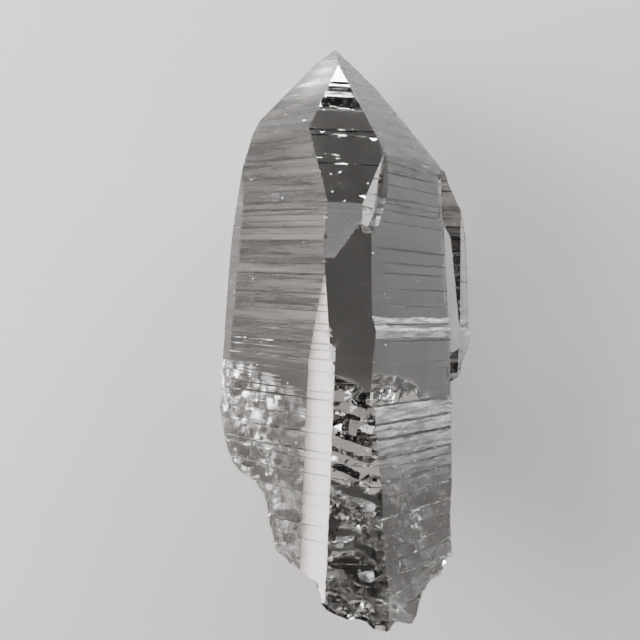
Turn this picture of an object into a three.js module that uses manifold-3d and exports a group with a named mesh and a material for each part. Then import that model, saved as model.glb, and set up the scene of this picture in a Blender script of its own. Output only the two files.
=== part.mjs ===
// A lemurian quartz point: one clear crystal with a six-faced tip, prism faces crossed by fine
// ledges, a side crystal grown along its right flank, and an obliquely broken base.
// Millimetres. The crystal lies on its broad rear face. +Z is up, and +Y runs along it to the tip.

import * as THREE from 'three';
import { mergeVertices } from 'three/addons/utils/BufferGeometryUtils.js';
import Module from 'manifold-3d';

const wasm = await Module();
wasm.setup();

// Quartz geometry. A tip face leans 38.2 degrees from the crystal's axis, so it drops this far
// along the axis for each millimetre that it moves out.
const TIP_SLOPE = 1 / Math.tan(THREE.MathUtils.degToRad(38.2));

// Azimuths of the faces round the axis: 0 faces up, 90 faces +X.
const FRONT = 0;
const RIGHT_FRONT = 60;
const RIGHT_REAR = 120;
const REAR = 180;
const LEFT_REAR = -120;
const LEFT_FRONT = -60;

// Faces that round an edge: a narrow strip down the left edge, and one beside the front plate.
const LEFT_STRIP = -78;
const FRONT_STRIP = 54;

// Heights along the axis are measured from the middle of the crystal, and distances from the axis.
// The tip faces meet the axis near these heights.
const FRONT_APEX = 48.2;
const RIGHT_FRONT_APEX = 44.3;
const RIGHT_REAR_APEX = 49.4;
const REAR_APEX = 44.0;
const LEFT_REAR_APEX = 46.8;
const LEFT_FRONT_APEX = 45.1;

// Distances of the flat levels of the faces.
const FRONT_LEVEL = 23.7;
const FRONT_PLATE_LEVEL = 24.5;
const RIGHT_FRONT_LEVEL = 13.9;
const REAR_LEVEL = 12.0;

// Growth forms reach this far past the crystal before they are cut to each other, and down to the
// foot, which the break takes away.
const REACH = 70;
const FOOT = -52;

// The broken base lies near one oblique plane, which falls from the rear to the front and right.
const BREAK_HEIGHT = -29.2;
const BREAK_FALL_RIGHT = 0.46;
const BREAK_FALL_FRONT = 0.78;
const BREAK_CELL = 1.45;

const QUARTZ = new THREE.MeshStandardMaterial({ color: 0xe9e7e3, roughness: 0.08, metalness: 0 });

// Random numbers that come out the same each time.
function seededRandom(seed) {
  let state = seed;
  return () => {
    state = (state * 1664525 + 1013904223) % 4294967296;
    return state / 4294967296;
  };
}

function toSolid(geometry) {
  const bare = geometry.clone();
  bare.deleteAttribute('normal');
  bare.deleteAttribute('uv');
  const merged = mergeVertices(bare, 1e-4);
  return new wasm.Manifold(new wasm.Mesh({
    numProp: 3,
    vertProperties: Float32Array.from(merged.attributes.position.array),
    triVerts: Uint32Array.from(merged.index.array),
  }));
}

function toGeometry(solid) {
  const mesh = solid.getMesh();
  const geometry = new THREE.BufferGeometry();
  geometry.setAttribute('position', new THREE.BufferAttribute(mesh.vertProperties, 3));
  geometry.setIndex(new THREE.BufferAttribute(mesh.triVerts, 1));
  return geometry;
}

function intersectAll(solids) {
  return solids.reduce((whole, solid) => whole.intersect(solid));
}

// A shape drawn in a plane through the axis becomes a slab: its first coordinate points out of the
// face, and it is extruded sideways along the face.
function slabAcross(azimuth, outline) {
  const points = outline.map(([height, distance]) => new THREE.Vector2(distance, height));
  const geometry = new THREE.ExtrudeGeometry(new THREE.Shape(points), {
    depth: 2 * REACH, bevelEnabled: false,
  });
  geometry.translate(0, 0, -REACH);
  geometry.rotateY(THREE.MathUtils.degToRad(azimuth - 90));
  return toSolid(geometry);
}

// A shape drawn on a face, in [across, height], is extruded both ways through the crystal.
function blockThrough(azimuth, outline) {
  const points = outline.map(([across, height]) => new THREE.Vector2(across, height));
  const geometry = new THREE.ExtrudeGeometry(new THREE.Shape(points), {
    depth: 2 * REACH, bevelEnabled: false,
  });
  geometry.translate(0, 0, -REACH);
  geometry.rotateY(THREE.MathUtils.degToRad(azimuth));
  return toSolid(geometry);
}

// Distance of a face from the axis at a height, between the points of its profile.
function distanceAt(profile, height) {
  const above = profile.findIndex(([level]) => level >= height);
  if (above <= 0) return profile.at(above)[1];
  const [lowHeight, lowDistance] = profile[above - 1];
  const [highHeight, highDistance] = profile[above];
  const share = (height - lowHeight) / (highHeight - lowHeight);
  return THREE.MathUtils.lerp(lowDistance, highDistance, share);
}

// A ledge is a fine notch across a face. Its two sides lean like the faces of the tip.
function withLedges(profile, ledges) {
  const notches = ledges.map(([height, depth]) => {
    const half = depth * TIP_SLOPE;
    return [
      [height - half, distanceAt(profile, height - half)],
      [height, distanceAt(profile, height) - depth],
      [height + half, distanceAt(profile, height + half)],
    ];
  });
  const clear = profile.filter(([height]) => (
    notches.every(([low, , high]) => height < low[0] || height > high[0])
  ));
  return [...clear, ...notches.flat()].sort((a, b) => a[0] - b[0]);
}

// A run of ledges with uneven spacing and depth, which leaves out any that would meet.
function ledgeRun(seed, from, to, count, deepest) {
  const random = seededRandom(seed);
  const step = (to - from) / count;
  return Array.from({ length: count }, (_, index) => {
    const height = from + step * (index + 0.2 + 0.6 * random());
    const depth = Math.min(deepest * (0.35 + 0.65 * random()), 0.16 * step);
    return [height, depth];
  });
}

// Everything behind one face of the prism and, if it has one, the tip face above it.
// A profile lists [height, distance] from the base up.
function growthForm(azimuth, profile, apex = null) {
  const [topHeight, topDistance] = profile.at(-1);
  const outline = [[FOOT, -REACH], [FOOT, profile[0][1]], ...profile];
  if (apex === null) {
    outline.push([topHeight + REACH, topDistance], [topHeight + REACH, -REACH]);
  } else {
    outline.push([apex - topDistance * TIP_SLOPE, topDistance], [apex + REACH * TIP_SLOPE, -REACH]);
  }
  return slabAcross(azimuth, outline);
}

// The front face and the raised plate that covers its lower part.
function frontForm(level) {
  const ledges = level === FRONT_LEVEL ? [] : ledgeRun(11, -38, 8, 9, 0.07);
  return growthForm(FRONT, withLedges([[-50, level], [10, level]], ledges), FRONT_APEX);
}

// The plate's top edge is an arrowhead, with a level step to the left of it.
function frontPlateOutline() {
  return blockThrough(FRONT, [
    [-REACH, -REACH], [REACH, -REACH], [REACH, 15.2], [2.05, 15.2], [-1.65, 9.7], [-REACH, 9.4],
  ]);
}

// The right front face is bare and flat only in a short stretch under the tip.
function rightFrontForm() {
  return growthForm(RIGHT_FRONT, [[-50, RIGHT_FRONT_LEVEL], [26, RIGHT_FRONT_LEVEL]], RIGHT_FRONT_APEX);
}

// A later layer covers the rest of it, in two broad steps that widen towards the base.
function rightLayerForm() {
  const profile = [
    [-50, 20.0], [-40, 19.7], [-32.4, 18.6], [-26.4, 18.4], [-18.9, 17.5], [-14.4, 17.0],
    [-12.9, 16.95], [-12.2, 16.65], [-4.8, 16.9], [-1.1, 17.15], [-0.6, 16.9], [0.4, 16.85],
    [0.9, 16.5], [8, 16.1], [13.5, 15.7], [20, 14.95], [25.5, 14.3],
  ];
  const ledges = [
    ...ledgeRun(21, -44, -14, 13, 0.22), ...ledgeRun(22, -11.5, -2, 4, 0.1), [-0.1, 0.14],
    ...ledgeRun(23, 2, 13, 5, 0.12), ...ledgeRun(24, 15, 24, 5, 0.12),
  ];
  return growthForm(RIGHT_FRONT, withLedges(profile, ledges), RIGHT_FRONT_APEX);
}

// Where that layer ends, on its left, its edge wanders up to the tip.
function rightLayerOutline() {
  return blockThrough(RIGHT_FRONT, [
    [REACH, -REACH], [REACH, REACH], [-11.3, REACH], [-11.3, 25.3], [-11.7, 22.2], [-12.8, 19.4],
    [-15.2, 16.8], [-17.0, 14.8], [-19.0, 13.6], [-20.3, 15.2], [-REACH, 15.2], [-REACH, -REACH],
  ]);
}

// A slim face rounds the edge between the front plate and the layer, down to the layer's step.
function frontStripForm() {
  return growthForm(FRONT_STRIP, [
    [-50, 24], [-12.6, 24], [-12.3, 18.05], [-4.8, 18.3], [-1.0, 18.5], [1.2, 17.9], [8, 17.56],
    [15.3, 17.4], [15.6, 24],
  ]);
}

function leftFrontForm() {
  const profile = [
    [-50, 13.8], [-26.6, 13.7], [-11.6, 13.85], [-4.1, 14.15], [3.4, 14.6], [9, 14.95], [13.8, 14.65],
    [18.2, 14.4], [29.9, 11.95],
  ];
  const ledges = [
    ...ledgeRun(31, -36, -9, 12, 0.12), ...ledgeRun(32, -8, 10.6, 13, 0.14), [12.2, 0.2],
    ...ledgeRun(33, 13, 18.6, 6, 0.16), ...ledgeRun(34, 19.5, 24.6, 4, 0.12), [25.2, 0.2],
    [27.6, 0.2], [28.7, 0.12],
  ];
  return growthForm(LEFT_FRONT, withLedges(profile, ledges), LEFT_FRONT_APEX);
}

// A narrow strip takes off the left edge, and dies out towards the tip.
function leftStripForm() {
  return growthForm(LEFT_STRIP, [[-50, 15.7], [-13, 15.7], [1, 15.6], [9, 15.55], [15, 15.3], [26, 14.6]]);
}

function leftRearForm() {
  const profile = [
    [-50, 17.4], [-18, 17.1], [-13, 17.0], [1.2, 16.1], [12.8, 15.1], [22, 13.4], [30.2, 11.4],
    [32.3, 11.4],
  ];
  return growthForm(LEFT_REAR, withLedges(profile, ledgeRun(41, -16, 31, 16, 0.22)), LEFT_REAR_APEX);
}

// The rear face is the broad flat one that the crystal lies on.
function rearForm() {
  const profile = [[-50, REAR_LEVEL], [28, REAR_LEVEL]];
  return growthForm(REAR, withLedges(profile, [[24.6, 0.2], [23.4, 0.14], [17.8, 0.18]]), REAR_APEX);
}

function rightRearForm() {
  const profile = [
    [-50, 19.3], [-36, 19.8], [-28.8, 20.4], [-23, 20.9], [-18, 21.4], [-13.3, 22.0], [-9, 21.2],
    [-4.6, 20.3], [2.6, 19.3], [12, 18.5], [20, 18.0], [26, 17.95],
  ];
  return growthForm(RIGHT_REAR, withLedges(profile, ledgeRun(51, -34, 25, 20, 0.22)), RIGHT_REAR_APEX);
}

// The main crystal: the same faces round it at every level, and the front two in their layers.
function mainCrystal() {
  const sides = intersectAll([
    rearForm(), leftRearForm(), leftStripForm(), leftFrontForm(), rightRearForm(),
  ]);
  const bare = intersectAll([sides, frontForm(FRONT_LEVEL), rightFrontForm()]);
  const layered = intersectAll([sides, rightLayerForm(), rightLayerOutline(), frontStripForm()]);
  const underPlate = layered.intersect(frontForm(FRONT_LEVEL));
  const plate = intersectAll([layered, frontForm(FRONT_PLATE_LEVEL), frontPlateOutline()]);
  const plateCorner = intersectAll([
    sides, frontForm(FRONT_PLATE_LEVEL), rightFrontForm(), frontPlateOutline(),
  ]);
  return bare.add(underPlate).add(plate).add(plateCorner);
}

// A thin crystal stands along the right flank with its own faces. It ends low on the flank in a
// broken foot.
function sideCrystal() {
  const front = growthForm(FRONT, [[-50, -4.4], [22, -4.8]], 19.5);
  const outerFront = growthForm(RIGHT_FRONT, withLedges(
    [[-50, 17.8], [0.6, 17.75], [17.3, 17.2]], ledgeRun(61, -6, 16, 6, 0.12),
  ), RIGHT_FRONT_APEX);
  const outerRear = growthForm(RIGHT_REAR, withLedges([
    [-50, 17], [-11, 20], [-9.4, 22.0], [-8.3, 23.6], [-6.7, 23.9], [-3.8, 26.9], [-2.5, 27.1],
    [0, 26.2], [2.7, 25.9], [8.5, 25.2], [14.7, 24.4], [17.1, 23.2], [20.1, 21.5], [23.1, 20.2],
    [25.4, 19.4],
  ], ledgeRun(62, 3.2, 24, 10, 0.16)), 50.2);
  const rear = growthForm(REAR, [[-50, 11.2], [18, 11.2]], 38);
  const inner = growthForm(LEFT_REAR, [[-50, 0], [30, 0]]);
  return intersectAll([front, outerFront, outerRear, rear, inner]);
}

// One conchoidal scoop: a shallow bowl of a given radius and depth, at a place on the break.
function scoopDepth(scoop, u, v) {
  const spread = Math.hypot(u - scoop.u, v - scoop.v) / scoop.radius;
  return scoop.depth * (1 - spread * spread);
}

// How deep the break is hollowed out at a place: a few large scoops, ripples round the middle of
// the largest, and small chips on top.
function breakRelief() {
  const large = [
    { u: 2, v: 20, radius: 24, depth: 8.2 },
    { u: -14, v: -8, radius: 9, depth: 2.2 },
    { u: -3, v: -27, radius: 13, depth: 3.5 },
    { u: 6, v: -32, radius: 12, depth: 4.0 },
    { u: 20, v: -18, radius: 10, depth: 1.4 },
    { u: 3, v: -7, radius: 12, depth: 2.6 },
    { u: 17, v: 3, radius: 8, depth: 2.0 },
  ];
  const random = seededRandom(71);
  const small = Array.from({ length: 46 }, () => ({
    u: -22 + 46 * random(), v: -34 + 56 * random(), radius: 2.2 + 4.2 * random(), depth: 0.5 + 1.1 * random(),
  }));
  const rippleHeight = 0.22;
  const rippleLength = 3.4;
  return (u, v) => {
    const hollow = Math.max(0, ...large.map((scoop) => scoopDepth(scoop, u, v)));
    const chips = Math.max(0, ...small.map((scoop) => scoopDepth(scoop, u, v)));
    const fromCentre = Math.hypot(u - large[0].u, v - large[0].v);
    return hollow + chips + rippleHeight * Math.sin(2 * Math.PI * fromCentre / rippleLength);
  };
}

// What the break took away: a block whose upper side carries the relief. Its own axes are u across
// the break, v up it towards the rear, and w into the crystal.
function brokenAway() {
  const into = new THREE.Vector3(BREAK_FALL_RIGHT, 1, BREAK_FALL_FRONT).normalize();
  const upBreak = new THREE.Vector3(0, BREAK_FALL_FRONT, -1).normalize();
  const across = new THREE.Vector3().crossVectors(upBreak, into);
  const size = 72;
  const cells = Math.round(size / BREAK_CELL);
  const geometry = new THREE.BoxGeometry(size, size, size, cells, cells, 1);
  geometry.translate(0, 0, -size / 2);
  const relief = breakRelief();
  const position = geometry.attributes.position;
  for (let index = 0; index < position.count; index += 1) {
    if (position.getZ(index) === 0) {
      position.setZ(index, relief(position.getX(index), position.getY(index)));
    }
  }
  geometry.applyMatrix4(new THREE.Matrix4().makeBasis(across, upBreak, into));
  geometry.translate(0, BREAK_HEIGHT, 0);
  return toSolid(geometry);
}

// The middle of the crystal's outline goes to the origin, and its rear face to the ground.
function centred(geometry) {
  geometry.computeBoundingBox();
  const box = geometry.boundingBox;
  const middle = box.getCenter(new THREE.Vector3());
  return geometry.translate(-middle.x, -middle.y, -box.min.z);
}

const crystal = mainCrystal().add(sideCrystal()).subtract(brokenAway());
const quartzPoint = new THREE.Mesh(centred(toGeometry(crystal)), QUARTZ);
quartzPoint.name = 'quartz_point';

const part = new THREE.Group();
part.add(quartzPoint);

export default part;
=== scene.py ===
import math
import random

import bmesh
import bpy
import numpy as np
from mathutils import Matrix, Vector, noise
from mathutils.bvhtree import BVHTree


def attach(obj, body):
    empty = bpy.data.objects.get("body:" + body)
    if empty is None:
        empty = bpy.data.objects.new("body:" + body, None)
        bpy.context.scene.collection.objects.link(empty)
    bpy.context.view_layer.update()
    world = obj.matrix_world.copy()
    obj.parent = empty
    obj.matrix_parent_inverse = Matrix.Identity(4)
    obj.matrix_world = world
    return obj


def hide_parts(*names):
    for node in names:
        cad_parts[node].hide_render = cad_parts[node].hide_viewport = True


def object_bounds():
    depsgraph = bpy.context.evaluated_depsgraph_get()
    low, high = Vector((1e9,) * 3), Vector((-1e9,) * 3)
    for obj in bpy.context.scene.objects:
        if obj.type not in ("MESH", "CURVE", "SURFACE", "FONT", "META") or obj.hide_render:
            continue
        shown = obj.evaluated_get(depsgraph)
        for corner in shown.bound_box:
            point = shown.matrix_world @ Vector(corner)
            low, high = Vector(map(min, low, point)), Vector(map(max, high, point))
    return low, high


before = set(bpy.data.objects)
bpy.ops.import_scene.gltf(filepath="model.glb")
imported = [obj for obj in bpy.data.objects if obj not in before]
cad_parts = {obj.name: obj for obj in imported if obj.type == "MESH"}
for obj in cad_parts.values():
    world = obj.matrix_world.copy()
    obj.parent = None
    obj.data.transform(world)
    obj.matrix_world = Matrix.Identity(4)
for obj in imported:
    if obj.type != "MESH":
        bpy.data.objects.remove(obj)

# A clear quartz point, lying on its broad rear face and seen from above. Metres,
# with the crystal's long axis along Y, its tip at +Y and its front towards +Z.

MM = 0.001
CAD_LOW, CAD_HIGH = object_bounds()
NODE = "quartz_point"
SEED = 7761
TIPWARDS = Vector((0, 1, 0))

# The camera looks down on the crystal, a little from the left.
CAMERA_TARGET = Vector((-6.4, 1.2, 20.5)) * MM
CAMERA_DISTANCE = 245 * MM
CAMERA_FROM_LEFT = math.radians(5.4)
CAMERA_FROM_TIP = math.radians(1.2)
CAMERA_ROLL = math.radians(2.3)
CAMERA_LENS = 86.1
CAMERA_SENSOR = 36

# The floor lies a hair under the crystal, so that the two surfaces don't coincide.
FLOOR_GAP = 0.02 * MM
FLOOR_SIZE = 6
FLOOR_COLOUR = (0.46, 0.455, 0.45, 1)
FLOOR_ROUGHNESS = 0.7
WORLD_COLOUR = (0.02, 0.02, 0.022, 1)

QUARTZ_IOR = 1.544
ABSORPTION_COLOUR = (0.80, 0.795, 0.79, 1)
ABSORPTION_DENSITY = 52.0

# The break is one oblique surface: its middle, and the direction into the crystal. A face is part
# of it where it lies near that surface and its normal's Y is under BREAK_FACING.
BREAK_MIDDLE = Vector((-4.43, -28.0, 12.0)) * MM
BREAK_INWARD = Vector((0.46, 1.0, 0.78)).normalized()
BREAK_DEPTH = 4.0 * MM
BREAK_FACING = -0.06
BREAK_CUTS = 2
BREAK_GRAIN = 0.05 * MM
BREAK_GRAIN_SIZE = 0.55 * MM

# Scoops over the break: reach and radii in millimetres, and depths as shares of the radius.
SCOOP_COUNT = 620
SCOOP_REACH = (26, 30)
SCOOP_RADII = (0.7, 3.2)
SCOOP_DEPTHS = (0.10, 0.28)
SCOOP_RIPPLE = 0.06
SCOOP_RIPPLE_TURN = 21

# Growth lines are steps a few hundredths of a millimetre high, or less, across each grown face. They
# crowd into bundles along the crystal, and swell and fade along their own length.
FIRST_LINE = -44 * MM
LAST_LINE = 44.5 * MM
LINE_GAPS = (0.16 * MM, 0.62 * MM)
LINE_GAP_CHANGES = (0.6, 1.5)
BUNDLE_LENGTH = 5 * MM
SWELL_LENGTH = 7 * MM
SWELL_MIDDLE = 0.55
SWELL_RANGE = 0.9
TIP_LINE = 0.005 * MM
LEFT_LINE = 0.016 * MM
FRONT_LINE = 0.005 * MM
SIDE_LINE = 0.010 * MM
COLUMN_GAP = 2.1 * MM
LEVEL_TOLERANCE = 0.01 * MM
MOVE_DAMPING = 0.03

# Grown faces whose normals are this close are one family, if it is large enough.
FAMILY_ANGLE = math.cos(math.radians(2.5))
FAMILY_AREA = 5 * MM * MM

NICK_SHARE = 0.10
NICK_DEPTHS = (0.03 * MM, 0.16 * MM)

# The front left edge, in millimetres: its X near the base, and how it bends to the left past a level.
EDGE_X = -6.15
EDGE_BENDS_FROM = -20
EDGE_BEND = 0.0015

# That edge is worn down to a narrow slanting band, from a point below the tip to the base.
BAND_LEFT = -9.0 * MM
BAND_RIGHT = -5.4 * MM
BAND_COLUMNS = [BAND_LEFT, -8.3 * MM, -7.8 * MM, -7.3 * MM, BAND_RIGHT]
BAND_TOP = 9.5 * MM
BAND_OPENS_OVER = 14 * MM
BAND_DEPTH = 0.65 * MM
BAND_LOWEST = 27 * MM
BAND_NARROWEST = 0.1 * MM
BAND_INWARD = Vector((0.788, 0, -0.616))
LEFT_FRONT = Vector((-0.866, 0, 0.5))
BAND_ANGLE = math.cos(math.radians(10))
BAND_LINES = 0.25
BAND_ROUND = 1.6
BAND_CURVE = 3

# The left faces lose their satin towards the base, between these levels.
SATIN_FADES = (-11 * MM, -3 * MM)

# The right front face is frosted along one ledge and below its last one, where it fades again.
LEDGE_LOW = -1.1 * MM
LEDGE_HIGH = 2.2 * MM
FROST_TOP = -11.5 * MM
FROST_FADES = (FROST_TOP - 15 * MM, FROST_TOP - 2 * MM)

# Inner cracks lie near the break, steep enough to mirror light up to the front. Their reach over
# the break is in millimetres, and their slopes are in degrees. Many tries find no room.
CRACK_TRIES = 780
CRACK_REACH = (24, 26)
CRACK_DEPTHS = (1.2 * MM, 9.0 * MM)
CRACK_RADII = (0.4 * MM, 2.0 * MM)
CRACK_SLOPES = (40, 62)
CRACK_LENGTHS = (1.0, 1.9)
CRACK_RAGGED = (0.45, 1.0)
CRACK_GAP = 0.03 * MM
CRACK_SKIN = 0.5 * MM
CRACK_SIDES = 8
RAY_STEP = 0.001 * MM
RAY_LIMIT = 40
INSIDE_RAYS = ((0, 0, 1), (0, 1, 0), (-1, 0, 0))

# The bare front lies a little lower than the plate that grew over it.
BARE_FRONT_LOW = 35.5 * MM
BARE_FRONT_HIGH = 36.2 * MM

# Limits for the parts of a face's normal, which tell the kinds of face apart. A pair is for X and Z.
TIP_FACING = 0.3
SIDE_FACING = 0.35
UP_FACING = 0.15
LEVEL_FACING = 0.99
FRONT_FACING = 0.9
LEFT_FRONT_FACING = (-0.5, 0.2)
RIGHT_FRONT_FACING = (0.7, 0.25)

# The materials, in the order that make_crystal adds them.
CLEAR, SATIN, BROKEN, VEILED, WORN, FROSTED = range(6)


def make_camera():
    across, along = CAMERA_FROM_LEFT, CAMERA_FROM_TIP
    back = Vector((
        -math.sin(across) * math.cos(along), math.sin(along), math.cos(across) * math.cos(along),
    ))
    level_right = TIPWARDS.cross(back).normalized()
    level_up = back.cross(level_right)
    right = level_right * math.cos(CAMERA_ROLL) + level_up * math.sin(CAMERA_ROLL)
    up = level_up * math.cos(CAMERA_ROLL) - level_right * math.sin(CAMERA_ROLL)
    camera = bpy.data.objects.new("camera", bpy.data.cameras.new("camera"))
    bpy.context.scene.collection.objects.link(camera)
    camera.matrix_world = (
        Matrix.Translation(CAMERA_TARGET + back * CAMERA_DISTANCE)
        @ Matrix((right, up, back)).transposed().to_4x4()
    )
    camera.data.lens = CAMERA_LENS
    camera.data.sensor_width = CAMERA_SENSOR
    camera.data.clip_start = 0.01
    camera.data.clip_end = 20
    bpy.context.scene.camera = camera


def area_light(name, place, aim, size, power, colour=(1, 1, 1)):
    data = bpy.data.lights.new(name, "AREA")
    data.shape = "RECTANGLE"
    data.size, data.size_y = size
    data.energy = power
    data.color = colour
    light = bpy.data.objects.new(name, data)
    bpy.context.scene.collection.objects.link(light)
    light.location = place
    light.rotation_euler = (Vector(aim) - Vector(place)).to_track_quat("-Z", "Y").to_euler()
    return light


def make_lights():
    """Two soft lights from the left, and low ones beyond the tip and the base that the crystal
    mirrors and bends. The left ones don't show through it, so that the floor under it stays dark."""
    middle = (0, 0, 0.015)
    key = area_light("key", (-0.36, 0.05, 0.21), middle, (0.26, 0.22), 3.8, (1.0, 0.97, 0.94))
    left = area_light("left_low", (-0.42, -0.02, 0.04), middle, (0.34, 0.06), 5.5, (1.0, 0.88, 0.82))
    for light in (key, left):
        light.visible_transmission = False
    area_light("tip_low", (0.02, 0.42, 0.031), middle, (0.80, 0.06), 30.0)
    area_light("tip_right", (0.22, 0.38, 0.13), middle, (0.18, 0.12), 1.6)
    area_light("base_low", (-0.05, -0.40, 0.035), middle, (0.50, 0.06), 8.0, (1.0, 0.95, 0.92))
    world = bpy.data.worlds.new("studio")
    world.use_nodes = True
    world.node_tree.nodes["Background"].inputs["Color"].default_value = WORLD_COLOUR
    bpy.context.scene.world = world


def make_floor():
    bpy.ops.mesh.primitive_plane_add(size=FLOOR_SIZE, location=(0, 0, -FLOOR_GAP))
    floor = bpy.context.object
    floor.name = "floor"
    material = bpy.data.materials.new("floor")
    material.use_nodes = True
    shader = material.node_tree.nodes["Principled BSDF"]
    shader.inputs["Base Color"].default_value = FLOOR_COLOUR
    shader.inputs["Roughness"].default_value = FLOOR_ROUGHNESS
    floor.data.materials.append(material)


# Materials

def node(tree, kind, **values):
    made = tree.nodes.new(kind)
    for name, value in values.items():
        setattr(made, name, value)
    return made


def stretched_noise(tree, scale, detail=4.0, roughness=0.6):
    """Noise in the crystal's own coordinates, with its own scale along each axis."""
    place = node(tree, "ShaderNodeTexCoord")
    stretch = node(tree, "ShaderNodeMapping")
    stretch.inputs["Scale"].default_value = scale
    pattern = node(tree, "ShaderNodeTexNoise")
    pattern.inputs["Scale"].default_value = 1.0
    pattern.inputs["Detail"].default_value = detail
    pattern.inputs["Roughness"].default_value = roughness
    tree.links.new(place.outputs["Object"], stretch.inputs["Vector"])
    tree.links.new(stretch.outputs["Vector"], pattern.inputs["Vector"])
    return pattern.outputs["Fac"]


def place_along(tree, axis):
    """The place along one of the crystal's axes, in metres."""
    place = node(tree, "ShaderNodeTexCoord")
    parts = node(tree, "ShaderNodeSeparateXYZ")
    tree.links.new(place.outputs["Object"], parts.inputs["Vector"])
    return parts.outputs[axis]


def product(tree, first, second):
    made = node(tree, "ShaderNodeMath", operation="MULTIPLY")
    tree.links.new(first, made.inputs[0])
    tree.links.new(second, made.inputs[1])
    return made.outputs["Value"]


def spread(tree, source, low, high, from_low=0.35, from_high=0.65):
    """Maps a pattern's middle range, or the given one, to the range from low to high."""
    change = node(tree, "ShaderNodeMapRange")
    change.inputs["From Min"].default_value = from_low
    change.inputs["From Max"].default_value = from_high
    change.inputs["To Min"].default_value = low
    change.inputs["To Max"].default_value = high
    tree.links.new(source, change.inputs["Value"])
    return change.outputs["Result"]


def bumped(tree, shader, height, strength, distance):
    bump = node(tree, "ShaderNodeBump")
    bump.inputs["Strength"].default_value = strength
    bump.inputs["Distance"].default_value = distance
    tree.links.new(height, bump.inputs["Height"])
    tree.links.new(bump.outputs["Normal"], shader.inputs["Normal"])


def quartz_base(name):
    """See-through quartz that darkens a little with depth."""
    material = bpy.data.materials.new(name)
    material.use_nodes = True
    tree = material.node_tree
    shader = tree.nodes["Principled BSDF"]
    shader.inputs["Base Color"].default_value = (1, 1, 1, 1)
    shader.inputs["IOR"].default_value = QUARTZ_IOR
    shader.inputs["Transmission Weight"].default_value = 1.0
    absorption = node(tree, "ShaderNodeVolumeAbsorption")
    absorption.inputs["Color"].default_value = ABSORPTION_COLOUR
    absorption.inputs["Density"].default_value = ABSORPTION_DENSITY
    tree.links.new(absorption.outputs["Volume"], tree.nodes["Material Output"].inputs["Volume"])
    return material, tree, shader


def add_specks(tree, shader):
    """Tiny white pits scattered over a face."""
    specks = stretched_noise(tree, (1300, 1300, 1300), 1.0)
    pits = spread(tree, specks, 1.0, 0.5, 0.755, 0.79)
    tree.links.new(pits, shader.inputs["Transmission Weight"])


def clear_quartz():
    material, tree, shader = quartz_base("quartz_clear")
    shader.inputs["Roughness"].default_value = 0.015
    lines = stretched_noise(tree, (60, 2600, 60), 3.0)
    add_specks(tree, shader)
    bumped(tree, shader, lines, 0.10, 0.02 * MM)
    return material


def veiled_quartz():
    """The bare front beside the plate, a little dull."""
    material, tree, shader = quartz_base("quartz_veiled")
    shader.inputs["Transmission Weight"].default_value = 0.84
    grain = stretched_noise(tree, (700, 1300, 700), 4.0)
    tree.links.new(spread(tree, grain, 0.18, 0.34), shader.inputs["Roughness"])
    bumped(tree, shader, grain, 0.10, 0.02 * MM)
    return material


def satin_quartz():
    """Dull in fine level bands, which fade towards the base."""
    material, tree, shader = quartz_base("quartz_satin")
    bands = stretched_noise(tree, (25, 700, 25), 5.0, 0.7)
    lines = stretched_noise(tree, (90, 4200, 90), 4.0, 0.7)
    fade = spread(tree, place_along(tree, "Y"), 0.0, 1.0, *SATIN_FADES)
    satin = product(tree, spread(tree, bands, 0.10, 0.50), fade)
    tree.links.new(satin, shader.inputs["Roughness"])
    add_specks(tree, shader)
    bumped(tree, shader, lines, 0.35, 0.03 * MM)
    return material


def broken_quartz():
    """The break and the inner cracks, in smooth and rough patches."""
    material, tree, shader = quartz_base("quartz_broken")
    grain = stretched_noise(tree, (1500, 1500, 1500), 5.0)
    patches = stretched_noise(tree, (260, 260, 260), 3.0)
    tree.links.new(spread(tree, patches, 0.04, 0.26), shader.inputs["Roughness"])
    tree.links.new(spread(tree, patches, 1.0, 0.88), shader.inputs["Transmission Weight"])
    bumped(tree, shader, grain, 0.25, 0.05 * MM)
    return material


def frosted_quartz():
    """Dull and streaky, where the right front face steps out and below its last ledge."""
    material, tree, shader = quartz_base("quartz_frosted")
    streaks = stretched_noise(tree, (130, 1900, 130), 4.0, 0.7)
    lines = stretched_noise(tree, (140, 4200, 140), 3.0)
    fade = spread(tree, place_along(tree, "Y"), 0.0, 1.0, *FROST_FADES)
    frost = product(tree, spread(tree, streaks, 0.0, 1.0), fade)
    tree.links.new(spread(tree, frost, 0.03, 0.42, 0, 1), shader.inputs["Roughness"])
    tree.links.new(spread(tree, frost, 1.0, 0.74, 0, 1), shader.inputs["Transmission Weight"])
    bumped(tree, shader, lines, 0.3, 0.03 * MM)
    return material


def band_quartz():
    """The worn band, frosted along its edge, and fading towards its left side and its top."""
    material, tree, shader = quartz_base("quartz_band")
    grain = stretched_noise(tree, (700, 5200, 700), 3.0)
    worn = stretched_noise(tree, (160, 420, 160), 4.0, 0.7)
    ragged = node(tree, "ShaderNodeMath", operation="MULTIPLY_ADD")
    tree.links.new(worn, ragged.inputs[0])
    ragged.inputs[1].default_value = 2.2 * MM
    tree.links.new(place_along(tree, "X"), ragged.inputs[2])
    across = spread(
        tree, ragged.outputs["Value"], 0.0, 1.0, BAND_LEFT + 0.7 * MM, BAND_LEFT + 3.0 * MM,
    )
    down = spread(tree, place_along(tree, "Y"), 1.0, 0.0, BAND_TOP - BAND_OPENS_OVER, BAND_TOP)
    frost = product(tree, across, down)
    tree.links.new(spread(tree, frost, 0.26, 0.50, 0, 1), shader.inputs["Roughness"])
    tree.links.new(spread(tree, frost, 1.0, 0.80, 0, 1), shader.inputs["Transmission Weight"])
    bumped(tree, shader, grain, 0.3, 0.03 * MM)
    return material


# Grown faces

def is_broken(face):
    depth = (face.calc_center_median() - BREAK_MIDDLE).dot(BREAK_INWARD)
    return abs(depth) < BREAK_DEPTH and face.normal.y < BREAK_FACING


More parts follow.
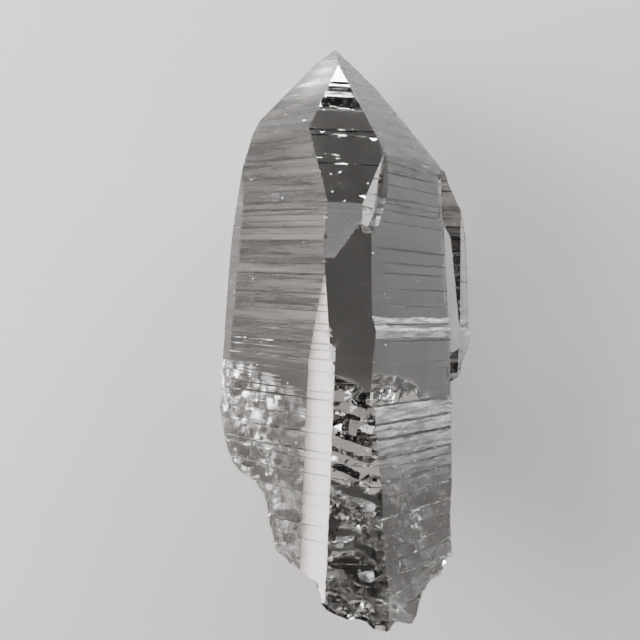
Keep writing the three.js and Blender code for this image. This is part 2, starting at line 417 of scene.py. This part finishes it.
def face_families(form):
    """The directions of the crystal's large grown faces, each with its faces' area."""
    families = []
    for face in sorted(form.faces, key=lambda item: -item.calc_area()):
        if is_broken(face):
            continue
        area = face.calc_area()
        for family in families:
            if family["normal"].dot(face.normal) > FAMILY_ANGLE:
                family["area"] += area
                break
        else:
            families.append({"normal": face.normal.copy(), "area": area})
    return [family for family in families if family["area"] > FAMILY_AREA]


def family_of(normal, families):
    best = max(range(len(families)), key=lambda index: families[index]["normal"].dot(normal))
    return best if families[best]["normal"].dot(normal) > FAMILY_ANGLE else None


def edge_place(level):
    """Where the front left edge runs, which leans a little to the left towards the tip."""
    past = max(level / MM - EDGE_BENDS_FROM, 0)
    return (EDGE_X - EDGE_BEND * past * past) * MM


def band_opening(level):
    """From 0 at the band's pointed top to 1 where it has its full width."""
    return min(max((BAND_TOP - level) / BAND_OPENS_OVER, 0), 1)


def band_left(level):
    """The band's left side, which slants from its pointed top to its full width."""
    top = edge_place(BAND_TOP)
    return top + (BAND_LEFT - top) * band_opening(level)


def in_band(point):
    inside = band_left(point.y) < point.x < BAND_RIGHT
    return inside and point.y < BAND_TOP and point.z > BAND_LOWEST


def band_move(point):
    """Moves the front left edge inwards, by less and less towards the band's sides."""
    if not in_band(point):
        return Vector()
    edge = edge_place(point.y)
    left = min(band_left(point.y), edge - BAND_NARROWEST)
    near = 1 - (edge - point.x) / (edge - left)
    if point.x > edge:
        near = (BAND_RIGHT - point.x) / (BAND_RIGHT - edge)
    return BAND_INWARD * (BAND_DEPTH * max(near, 0) ** BAND_ROUND * band_opening(point.y))


def slice_faces(form, faces, point, normal):
    """Cuts these faces by a plane, and gives back the faces that lie past it."""
    edges = {edge for face in faces for edge in face.edges}
    corners = {corner for face in faces for corner in face.verts}
    cut = bmesh.ops.bisect_plane(
        form, geom=faces + list(edges) + list(corners), dist=1e-7, plane_co=point, plane_no=normal,
    )
    point = Vector(point)
    normal = Vector(normal)
    return [
        item for item in cut["geom"]
        if isinstance(item, bmesh.types.BMFace)
        and (item.calc_center_median() - point).dot(normal) > 0
    ]


def line_levels(draw):
    """Heights of the growth lines along the crystal, close together in bundles."""
    levels = []
    level = FIRST_LINE
    while level < LAST_LINE:
        levels.append(level)
        crowd = 0.5 + 0.5 * noise.noise(Vector((level / BUNDLE_LENGTH, 3.1, 0)))
        low, high = LINE_GAPS
        level += (low + (high - low) * (1 - crowd)) * draw.uniform(*LINE_GAP_CHANGES)
    return levels


def slice_grown(form, points, normal):
    """Cuts the grown faces by parallel planes, from the lowest to the highest."""
    faces = [face for face in form.faces if not is_broken(face)]
    for point in points:
        faces = slice_faces(form, faces, point, normal)


def add_lines(form, levels):
    """Cuts the grown faces at each growth line, at columns, and down the band's slanting side."""
    count = int((CAD_HIGH.x - CAD_LOW.x) / COLUMN_GAP)
    columns = [CAD_LOW.x + column * COLUMN_GAP for column in range(1, count)] + BAND_COLUMNS
    slice_grown(form, [(column, 0, 0) for column in sorted(columns)], (1, 0, 0))
    slant = (BAND_OPENS_OVER, BAND_LEFT - edge_place(BAND_TOP), 0)
    slice_grown(form, [(BAND_LEFT, BAND_TOP - BAND_OPENS_OVER, 0)], Vector(slant).normalized())
    slice_grown(form, [(0, level, 0) for level in levels], (0, 1, 0))


def line_strength(normal):
    """How high the growth lines are, in metres, on a face that looks this way."""
    if abs(normal.y) > TIP_FACING:
        return TIP_LINE
    if normal.x < LEFT_FRONT_FACING[0] and normal.z > LEFT_FRONT_FACING[1]:
        return LEFT_LINE
    if normal.z > FRONT_FACING:
        return FRONT_LINE
    return SIDE_LINE


def line_height(family, index, strength, place):
    """A growth line's height, which swells and fades slowly along the line. Each line has a lane
    of its own in the noise."""
    lane = 17.3 * index + 5.9 * family
    step = noise.noise(Vector((lane, 0.5, 2.5))) * 2
    fade = SWELL_MIDDLE + SWELL_RANGE * noise.noise(Vector((place / SWELL_LENGTH, lane, 9.5)))
    return strength * step * max(fade, 0)


def smooth_band(form):
    """Wears the left front face's ledges away inside the band."""
    corners = [
        corner for corner in form.verts
        if in_band(corner.co)
        and any(face.normal.dot(LEFT_FRONT) > BAND_ANGLE for face in corner.link_faces)
    ]
    levels = np.array([corner.co.y for corner in corners]) / MM
    heights = np.array([corner.co.dot(LEFT_FRONT) for corner in corners]) / MM
    smoothed = np.polyval(np.polyfit(levels, heights, BAND_CURVE), levels)
    for corner, height, smooth in zip(corners, heights, smoothed):
        opened = band_opening(corner.co.y)
        corner.co += LEFT_FRONT * ((smooth - height) * MM * opened)


def grown_normals(corner, families):
    """The normals of the families that meet at a corner, by the family's number."""
    found = {}
    for face in corner.link_faces:
        family = family_of(face.normal, families)
        if family is not None:
            found[family] = families[family]["normal"]
    return found


def line_move(place, found, index):
    """The least move that lifts a corner by each of its faces' line heights."""
    share = BAND_LINES if in_band(place) else 1
    rows = []
    heights = []
    for family, normal in found.items():
        along_line = TIPWARDS.cross(normal).normalized()
        strength = line_strength(normal) * share
        rows.append(normal)
        heights.append(line_height(family, index, strength, place.dot(along_line)))
    matrix = np.array(rows)
    damped = matrix.T @ matrix + MOVE_DAMPING * np.eye(3)
    return Vector(np.linalg.solve(damped, matrix.T @ np.array(heights)))


def raise_lines(form, families, levels, draw):
    """Moves each corner of the grown faces along the normals of the faces that meet there.
    Where two faces meet, a few corners are set back a little more, as nicks in the edge."""
    level_list = np.array(levels)
    moves = {}
    for corner in form.verts:
        if any(is_broken(face) for face in corner.link_faces):
            continue
        found = grown_normals(corner, families)
        if not found:
            continue
        moves[corner] = band_move(corner.co)
        index = int(np.abs(level_list - corner.co.y).argmin())
        if abs(level_list[index] - corner.co.y) > LEVEL_TOLERANCE:
            continue
        moves[corner] += line_move(corner.co, found, index)
        if len(found) > 1 and draw.random() < NICK_SHARE:
            outward = sum(found.values(), Vector()).normalized()
            moves[corner] -= outward * draw.uniform(*NICK_DEPTHS)
    for corner, move in moves.items():
        corner.co += move


# Break

def place_on_break(draw, reach):
    """A random place on the break's plane, within a reach each way from its middle."""
    across = BREAK_INWARD.orthogonal().normalized()
    along = BREAK_INWARD.cross(across)
    place = BREAK_MIDDLE + across * draw.uniform(-reach[0], reach[0]) * MM
    return place + along * draw.uniform(-reach[1], reach[1]) * MM


def scoop_field(draw):
    """Shallow conchoidal scoops, each with a centre on the break, a radius and a depth."""
    scoops = []
    for _ in range(SCOOP_COUNT):
        centre = place_on_break(draw, SCOOP_REACH)
        radius = draw.uniform(*SCOOP_RADII) * MM
        scoops.append((centre, radius, radius * draw.uniform(*SCOOP_DEPTHS)))
    return scoops


def relief(points, scoops):
    """How far the break is cut in at these points, with sharp rims between the scoops."""
    inward = np.array(BREAK_INWARD)
    depths = (points - np.array(BREAK_MIDDLE)) @ inward
    flat = points - depths[:, None] * inward
    cut = np.zeros(len(points))
    for centre, radius, depth in scoops:
        distance = np.linalg.norm(flat - np.array(centre), axis=1) / radius
        ripple = SCOOP_RIPPLE * distance * np.sin(distance * SCOOP_RIPPLE_TURN)
        bowl = depth * (1 - distance ** 2 + ripple)
        cut = np.maximum(cut, np.where(distance < 1, bowl, 0))
    return cut


def refine_break(form, draw):
    """Divides the break's faces, and sets their corners in by the scoops and a fine grain."""
    broken = [face for face in form.faces if is_broken(face)]
    edges = list({edge for face in broken for edge in face.edges})
    bmesh.ops.subdivide_edges(form, edges=edges, cuts=BREAK_CUTS, use_grid_fill=True)
    broken = [face for face in form.faces if is_broken(face)]
    bmesh.ops.triangulate(form, faces=broken)
    broken = [face for face in form.faces if is_broken(face)]
    scoops = scoop_field(draw)
    corners = {corner for face in broken for corner in face.verts}
    corners = [corner for corner in corners if all(is_broken(face) for face in corner.link_faces)]
    cuts = relief(np.array([corner.co for corner in corners]), scoops)
    for corner, cut in zip(corners, cuts):
        grain = BREAK_GRAIN * noise.noise(corner.co / BREAK_GRAIN_SIZE)
        corner.co += BREAK_INWARD * (cut + grain)


def crack_frame(draw):
    """Two directions that span a crack's plane, and the crack's own direction."""
    turn = draw.uniform(0, 2 * math.pi)
    slope = math.radians(draw.uniform(*CRACK_SLOPES))
    normal = Vector((
        math.sin(slope) * math.cos(turn), math.sin(slope) * math.sin(turn), math.cos(slope),
    ))
    across = normal.orthogonal().normalized()
    return across, normal.cross(across), normal


def add_crack(form, draw, centre, radius):
    """A thin closed gap in the crystal: a rim and two shallow cones, facing inwards."""
    across, along, normal = crack_frame(draw)
    long = draw.uniform(*CRACK_LENGTHS)
    rim = []
    for side in range(CRACK_SIDES):
        angle = 2 * math.pi * side / CRACK_SIDES
        reach = radius * draw.uniform(*CRACK_RAGGED)
        rim.append(form.verts.new(
            centre + across * math.cos(angle) * reach + along * math.sin(angle) * reach / long,
        ))
    front = form.verts.new(centre + normal * CRACK_GAP)
    rear = form.verts.new(centre - normal * CRACK_GAP)
    for side in range(CRACK_SIDES):
        first, second = rim[side], rim[(side + 1) % CRACK_SIDES]
        for corners in ((second, first, front), (first, second, rear)):
            form.faces.new(corners).material_index = BROKEN


def crossings(tree, place, direction):
    """How many times a ray from this place passes through the crystal's surface."""
    count = 0
    while count < RAY_LIMIT:
        hit, _, _, _ = tree.ray_cast(place, direction)
        if hit is None:
            return count
        count += 1
        place = hit + direction * RAY_STEP
    return count


def is_inside(tree, place):
    return all(crossings(tree, place, Vector(ray)) % 2 == 1 for ray in INSIDE_RAYS)


def add_cracks(form, draw):
    """Puts cracks in the crystal's inside, clear of its surface and of each other."""
    tree = BVHTree.FromBMesh(form)
    taken = []
    for _ in range(CRACK_TRIES):
        place = place_on_break(draw, CRACK_REACH)
        place += BREAK_INWARD * draw.uniform(*CRACK_DEPTHS)
        radius = draw.uniform(*CRACK_RADII)
        _, _, _, distance = tree.find_nearest(place)
        clear = all((place - other).length > radius + reach for other, reach in taken)
        if clear and distance > radius + CRACK_SKIN and is_inside(tree, place):
            taken.append((place, radius))
            add_crack(form, draw, place, radius)
    print("inner cracks", len(taken))


def is_frosted(face):
    """True on the right front face, along its one frosted ledge and below its last one."""
    level = face.calc_center_median().y
    normal = face.normal
    right_front = normal.x > RIGHT_FRONT_FACING[0] and normal.z > RIGHT_FRONT_FACING[1]
    return right_front and (LEDGE_LOW < level < LEDGE_HIGH or level < FROST_TOP)


def material_of(face):
    """The number of a face's material, by where the face is and which way it looks."""
    normal = face.normal
    place = face.calc_center_median()
    if is_broken(face):
        return BROKEN
    if normal.x < -SIDE_FACING and in_band(place):
        return WORN
    if is_frosted(face):
        return FROSTED
    if normal.z > LEVEL_FACING and BARE_FRONT_LOW < place.z < BARE_FRONT_HIGH:
        return VEILED
    left_front = normal.x < -SIDE_FACING and normal.z > UP_FACING
    right_tip = abs(normal.y) > TIP_FACING and normal.x > SIDE_FACING
    return SATIN if left_front or right_tip else CLEAR


def make_crystal():
    draw = random.Random(SEED)
    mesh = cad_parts[NODE].data.copy()
    crystal = bpy.data.objects.new("quartz_crystal", mesh)
    bpy.context.scene.collection.objects.link(crystal)
    mesh.materials.clear()
    for make_material in (
        clear_quartz, satin_quartz, broken_quartz, veiled_quartz, band_quartz, frosted_quartz,
    ):
        mesh.materials.append(make_material())
    form = bmesh.new()
    form.from_mesh(mesh)
    bmesh.ops.remove_doubles(form, verts=form.verts, dist=1e-6)
    form.normal_update()
    families = face_families(form)
    levels = line_levels(draw)
    add_lines(form, levels)
    form.normal_update()
    smooth_band(form)
    raise_lines(form, families, levels, draw)
    refine_break(form, draw)
    form.normal_update()
    for face in form.faces:
        face.material_index = material_of(face)
    bmesh.ops.triangulate(form, faces=form.faces)
    add_cracks(form, draw)
    for face in form.faces:
        face.smooth = False
    print("crystal", len(families), "families", len(levels), "lines", len(form.faces), "triangles")
    print("open edges", sum(1 for edge in form.edges if len(edge.link_faces) != 2))
    form.to_mesh(mesh)
    form.free()
    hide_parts(NODE)
    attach(crystal, "root")


make_camera()
make_lights()
make_floor()
make_crystal()
